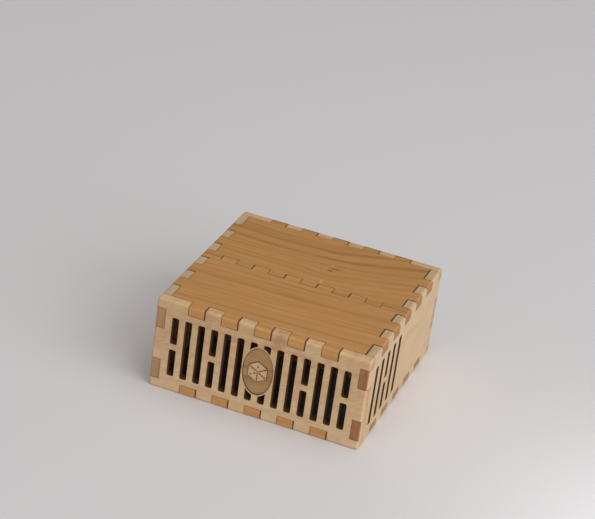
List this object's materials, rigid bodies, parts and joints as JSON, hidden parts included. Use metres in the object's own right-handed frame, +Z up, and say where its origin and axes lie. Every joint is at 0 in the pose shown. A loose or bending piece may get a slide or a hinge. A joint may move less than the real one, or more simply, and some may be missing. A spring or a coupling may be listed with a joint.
{
  "type": "dice tower",
  "caption": "Flat square wooden dice tower with a barred dice cell, lift-off top boards and a pull-up chute over a ramp.",
  "frame": {"origin": "centre of the underside", "axes": "+X to the right along the barred front, -Y out of the barred front, +Z up through the top boards"},
  "size_m": [0.14, 0.14, 0.0625],
  "materials": {
    "maple": "satin",
    "inner_maple": "matte",
    "cherry": "satin",
    "felt": "matte",
    "magnet": "satin"
  },
  "bodies": {
    "case": {"front_panel": "maple", "rear_panel": "maple", "left_side_panel": "maple", "right_side_panel": "maple", "bottom_panel": "cherry", "divider_panel": "inner_maple", "exit_ramp": "inner_maple", "ramp_brackets": "inner_maple", "corner_blocks": "inner_maple", "cell_felt": "felt", "case_magnets": "magnet"},
    "lid": {"top_front_panel": "cherry", "lid_magnets": "magnet"},
    "chute": {"chute_front_wall": "inner_maple", "chute_rear_wall": "inner_maple", "chute_left_wall": "inner_maple", "chute_right_wall": "inner_maple", "chute_baffle": "inner_maple", "chute_magnets": "magnet"},
    "cap": {"top_rear_panel": "cherry", "cap_magnets": "magnet"}
  },
  "joints": [
    {"name": "lid_lift", "type": "slide", "parent": "case", "child": "lid", "axis": [0, 0, 1], "range_m": [0, 0.06]},
    {"name": "chute_lift", "type": "slide", "parent": "case", "child": "chute", "axis": [0, 0, 1], "range_m": [0, 0.038]},
    {"name": "cap_lift", "type": "slide", "parent": "chute", "child": "cap", "axis": [0, 0, 1], "range_m": [0, 0.06]}
  ]
}
